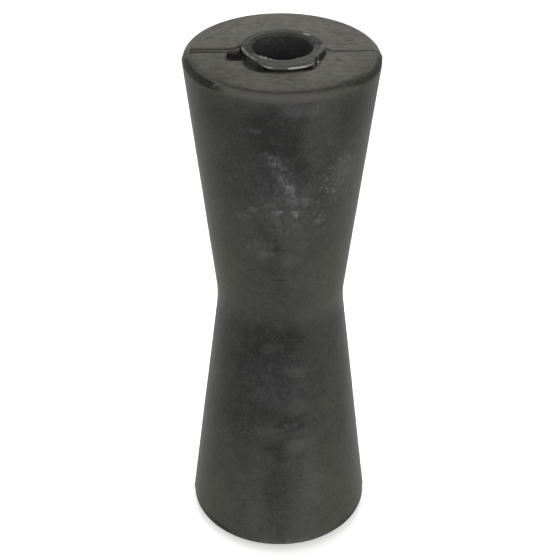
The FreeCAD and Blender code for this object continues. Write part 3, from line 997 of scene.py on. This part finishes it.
def weathered_rubber(finish):
    """Black rubber as it left the mould, then weathered: matt, with little shine at any angle, greyed by a
    film that is neutral in front and olive at the sides, dusty on top, with pale scuffs and dried specks."""
    material = bpy.data.materials.new("moulded_rubber_weathered")
    material.use_nodes = True
    tree = material.node_tree
    tree.nodes.clear()
    place = add_node(tree, "ShaderNodeTexCoord").outputs["Object"]
    pattern, spread = skin_patterns(tree, place)
    painted = {}
    for name in PAINTS:
        painted[name] = add_node(tree, "ShaderNodeAttribute", {"attribute_name": name}).outputs["Fac"]

    # how much of the skin the bloom covers
    bloom = painted["bloom"]
    for name, swing in BLOOM_SWINGS.items():
        level = add_node(tree, "ShaderNodeMath", {"operation": "SUBTRACT", 1: 0.5}, {0: pattern[name]})
        bloom = add_node(tree, "ShaderNodeMath", {"operation": "MULTIPLY_ADD", 1: swing}, {
            0: level, 2: bloom,
        })
    bloom = add_node(tree, "ShaderNodeClamp", links={"Value": bloom})

    # how much of it dust, scuffs with painted highlights, and dirt with painted shade cover
    dust, scuffs_and_highlights, dirt_and_shade = [
        add_node(tree, "ShaderNodeMath", {"operation": "MULTIPLY", "use_clamp": True}, {
            0: spread[name], 1: painted[paint],
        })
        for name, paint in (("wipes", "dust"), ("wisps", "chalk"), ("mottle", "grime"))
    ]
    splashes = dried_splashes(tree, place, painted, spread["patches"])

    # each layer over the last: the dark one also carries painted shade, the chalk one and the last one
    # painted highlights
    film = add_node(tree, "ShaderNodeMix", {
        "data_type": "RGBA", 6: tuple(finish.grey_bloom), 7: tuple(finish.olive_bloom),
    }, {0: painted["olive"]})
    colour = add_node(tree, "ShaderNodeMix", {"data_type": "RGBA", 6: tuple(finish.rubber)}, {
        0: bloom, 7: film.outputs[2],
    })
    settled = add_node(tree, "ShaderNodeMix", {
        "data_type": "RGBA", 6: tuple(finish.dust), 7: tuple(finish.damp_dust),
    }, {0: spread["damp"]})
    colour = add_node(tree, "ShaderNodeMix", {"data_type": "RGBA"}, {
        0: dust, 6: colour.outputs[2], 7: settled.outputs[2],
    })
    layers = ((painted["stain"], finish.stain), (splashes, finish.speck), (scuffs_and_highlights, finish.chalk),
              (dirt_and_shade, finish.grime), (painted["rub"], finish.rub))
    for share, top_colour in layers:
        colour = add_node(tree, "ShaderNodeMix", {"data_type": "RGBA", 7: tuple(top_colour)}, {
            0: share, 6: colour.outputs[2],
        })

    # dust is rougher than the film, and the film than bare rubber
    roughness = add_node(tree, "ShaderNodeMath", {"operation": "MULTIPLY_ADD", 1: 0.08, 2: 0.5}, {0: bloom})
    roughness = add_node(tree, "ShaderNodeMath", {"operation": "MULTIPLY_ADD", 1: 0.2}, {
        0: painted["dust"], 2: roughness,
    })
    height = add_node(tree, "ShaderNodeMath", {"operation": "MULTIPLY_ADD", 1: 0.5}, {
        0: pattern["grain"], 2: pattern["mottle"],
    })
    height = add_node(tree, "ShaderNodeMath", {"operation": "MULTIPLY_ADD"}, {
        0: dust, 1: pattern["wipes"], 2: height,
    })
    relief = add_node(tree, "ShaderNodeBump", {"Strength": 0.4, "Distance": 0.12 * MM}, {"Height": height})
    shader = add_node(tree, "ShaderNodeBsdfPrincipled", {
        "IOR": 1.5, "Specular IOR Level": 0.11, "Specular Tint": (1, 1, 0.82, 1),
    }, {
        "Base Color": colour.outputs[2], "Roughness": roughness, "Normal": relief,
    })
    add_node(tree, "ShaderNodeOutputMaterial", links={"Surface": shader})
    return material


# The studio, in metres. The lamps' places are from the roller's middle

FLOOR_RADIUS, FLOOR_SIDES, FLOOR_GLOW = 3.0, 96, 0.4
LAMP_WIDTH, LAMP_HEIGHT = 0.5, 0.6
LAMPS = {
    "left": Vector((-0.8, 0.35, 0.25)),
    "right": Vector((0.45, -0.85, 0.4)),
    "top": Vector((0, 0.25, 0.95)),
}


def seen_rays(tree):
    """1 for the rays that show a surrounding as it is: from the camera, in a reflection or through glass."""
    path = add_node(tree, "ShaderNodeLightPath")
    seen = path.outputs["Is Camera Ray"]
    for name in ("Is Glossy Ray", "Is Transmission Ray"):
        seen = add_node(tree, "ShaderNodeMath", {"operation": "MAXIMUM"}, {0: seen, 1: path.outputs[name]})
    return seen


def pale_floor():
    """A plain pale floor. It is seen white, with the roller's shadow on it, and lights the roller less."""
    material = bpy.data.materials.new("pale_studio_floor")
    material.use_nodes = True
    tree = material.node_tree
    tree.nodes.clear()
    lit = add_node(tree, "ShaderNodeBsdfDiffuse", {"Color": srgb("8C8C8A")})
    pale = add_node(tree, "ShaderNodeBsdfDiffuse", {"Color": srgb("E6E6E4")})
    glow = add_node(tree, "ShaderNodeEmission", {"Color": srgb("FFFFFF"), "Strength": FLOOR_GLOW})
    white = add_node(tree, "ShaderNodeAddShader", links={0: pale, 1: glow})
    shown = add_node(tree, "ShaderNodeMixShader", links={0: seen_rays(tree), 1: lit, 2: white})
    add_node(tree, "ShaderNodeOutputMaterial", links={"Surface": shown})
    bm = bmesh.new()
    bmesh.ops.create_circle(bm, cap_ends=True, segments=FLOOR_SIDES, radius=FLOOR_RADIUS)
    bmesh.ops.translate(bm, verts=bm.verts, vec=(0, 0, LOW.z))
    mesh = bpy.data.meshes.new("studio_floor")
    bm.to_mesh(mesh)
    bm.free()
    mesh.materials.append(material)
    floor = bpy.data.objects.new("studio_floor", mesh)
    bpy.context.scene.collection.objects.link(floor)


def soft_lamp(name, power, place, target):
    """A rectangular soft lamp aimed at a point."""
    lamp = bpy.data.lights.new(name, "AREA")
    lamp.shape = "RECTANGLE"
    lamp.size, lamp.size_y = LAMP_WIDTH, LAMP_HEIGHT
    lamp.energy = power
    holder = bpy.data.objects.new(name, lamp)
    bpy.context.scene.collection.objects.link(holder)
    holder.location = place
    holder.rotation_euler = (target - place).to_track_quat("-Z", "Y").to_euler()


def white_room(ambient):
    """A white room. The light that it casts on the roller is dimmer than its walls look."""
    world = bpy.data.worlds.new("white_room")
    world.use_nodes = True
    tree = world.node_tree
    tree.nodes.clear()
    strength = add_node(tree, "ShaderNodeMapRange", {"To Min": ambient, "To Max": 1.0}, {
        "Value": seen_rays(tree),
    })
    room = add_node(tree, "ShaderNodeBackground", {"Color": srgb("FFFFFF")}, {"Strength": strength})
    add_node(tree, "ShaderNodeOutputWorld", links={"Surface": room})
    bpy.context.scene.world = world


def place_camera(studio):
    """The camera in front of the roller, looking down on it as the photograph does."""
    pitch, roll, azimuth = studio.camera_pitch, studio.camera_roll, studio.camera_azimuth
    heading = azimuth + studio.camera_yaw
    forward = Vector((
        math.sin(heading) * math.cos(pitch), math.cos(heading) * math.cos(pitch), -math.sin(pitch),
    ))
    level = forward.cross(Vector((0, 0, 1))).normalized()
    above = level.cross(forward)
    right = level * math.cos(roll) + above * math.sin(roll)
    up = above * math.cos(roll) - level * math.sin(roll)
    turn = Matrix((right, up, -forward)).transposed()
    data = bpy.data.cameras.new("camera")
    data.lens = studio.lens
    data.clip_start, data.clip_end = 0.01, 20
    camera = bpy.data.objects.new("camera", data)
    bpy.context.scene.collection.objects.link(camera)
    back = studio.camera_back
    place = Vector((-back * math.sin(azimuth), -back * math.cos(azimuth), LOW.z + studio.camera_height))
    camera.matrix_world = Matrix.Translation(place) @ turn.to_4x4()
    bpy.context.scene.camera = camera


class ROLLER_OT_studio(bpy.types.Operator):
    """Sets the floor, the lamps, the room and the camera."""

    bl_idname = "roller.studio"
    bl_label = "Studio"

    def execute(self, context):
        scene = context.scene
        studio = scene.studio_setup
        middle = (LOW + HIGH) / 2
        pale_floor()
        for side, offset in LAMPS.items():
            soft_lamp("lamp_" + side, getattr(studio, side + "_power"), middle + offset, middle)
        white_room(studio.ambient)
        place_camera(studio)
        scene.view_settings.view_transform = "Standard"
        return {"FINISHED"}


class ROLLER_PT_panel(bpy.types.Panel):
    """Lists the roller's operators and sizes."""

    bl_idname = "ROLLER_PT_panel"
    bl_label = "Keel Roller"
    bl_space_type = "VIEW_3D"
    bl_region_type = "UI"
    bl_category = "Keel Roller"

    def draw(self, context):
        for operator in OPERATORS:
            self.layout.operator(operator.bl_idname)
        for name, group in GROUPS.items():
            column = self.layout.column()
            for key in group.__annotations__:
                column.prop(getattr(context.scene, name), key)


GROUPS = {
    "roller_sizes": RollerSizes,
    "rubber_finish": RubberFinish,
    "studio_setup": StudioSetup,
}
OPERATORS = (ROLLER_OT_moulding, ROLLER_OT_studio)
CLASSES = (*GROUPS.values(), *OPERATORS, ROLLER_PT_panel)


def register():
    """Registers the classes and gives every scene the settings."""
    for cls in CLASSES:
        bpy.utils.register_class(cls)
    for name, group in GROUPS.items():
        setattr(bpy.types.Scene, name, bpy.props.PointerProperty(type=group))


def unregister():
    """Takes the settings and the classes away again."""
    for name in GROUPS:
        delattr(bpy.types.Scene, name)
    for cls in reversed(CLASSES):
        bpy.utils.unregister_class(cls)


def main():
    """Builds the roller and its studio."""
    register()
    bpy.ops.roller.moulding()
    bpy.ops.roller.studio()


if __name__ == "__main__":
    main()
